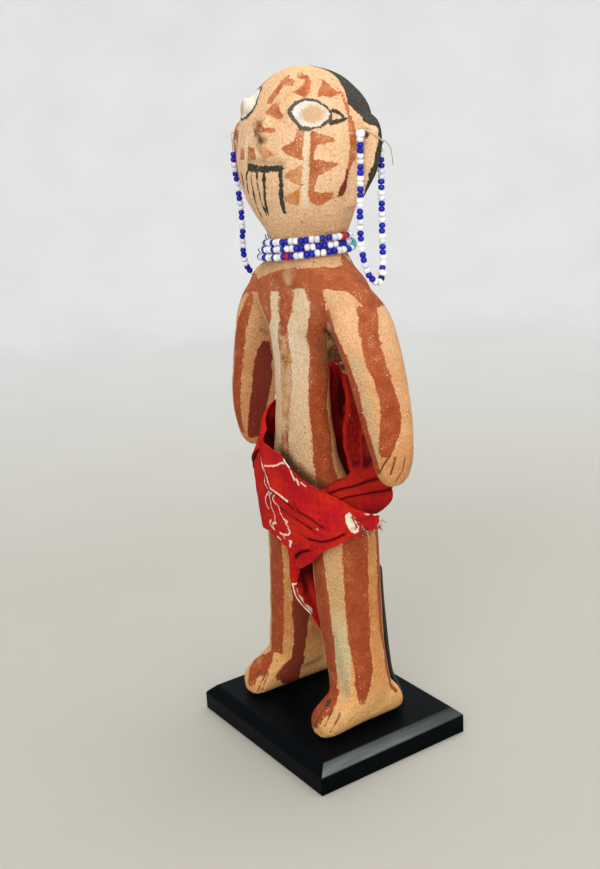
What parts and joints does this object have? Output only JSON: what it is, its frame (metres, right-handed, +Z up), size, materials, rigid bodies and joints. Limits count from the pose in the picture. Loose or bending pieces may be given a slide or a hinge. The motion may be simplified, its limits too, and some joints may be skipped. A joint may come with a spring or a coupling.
{
  "type": "pottery figure",
  "caption": "Standing painted clay effigy figure with bead necklace and ear loops, red cotton hip cloth, on a black chamfered base with a thin support rod.",
  "frame": {"origin": "centre of the underside of the display base", "axes": "+Z up, the figure faces -Y, +X is the figure's left side"},
  "size_m": [0.0983, 0.067, 0.2462],
  "materials": {
    "black_lacquer": "satin black lacquer",
    "black_rod": "matt black",
    "painted_clay": "unglazed buff clay with red, cream, white and black paint",
    "red_cotton": "printed cotton",
    "glass_beads": "opaque glass seed beads"
  },
  "bodies": {
    "root": {"display_base": "black_lacquer", "support_rod": "black_rod", "figure": "painted_clay", "hip_cloth": "red_cotton", "necklace_bottom": "glass_beads", "necklace_middle": "glass_beads", "necklace_top": "glass_beads", "ear_loop_left": "glass_beads", "ear_loop_right": "glass_beads"}
  },
  "joints": []
}
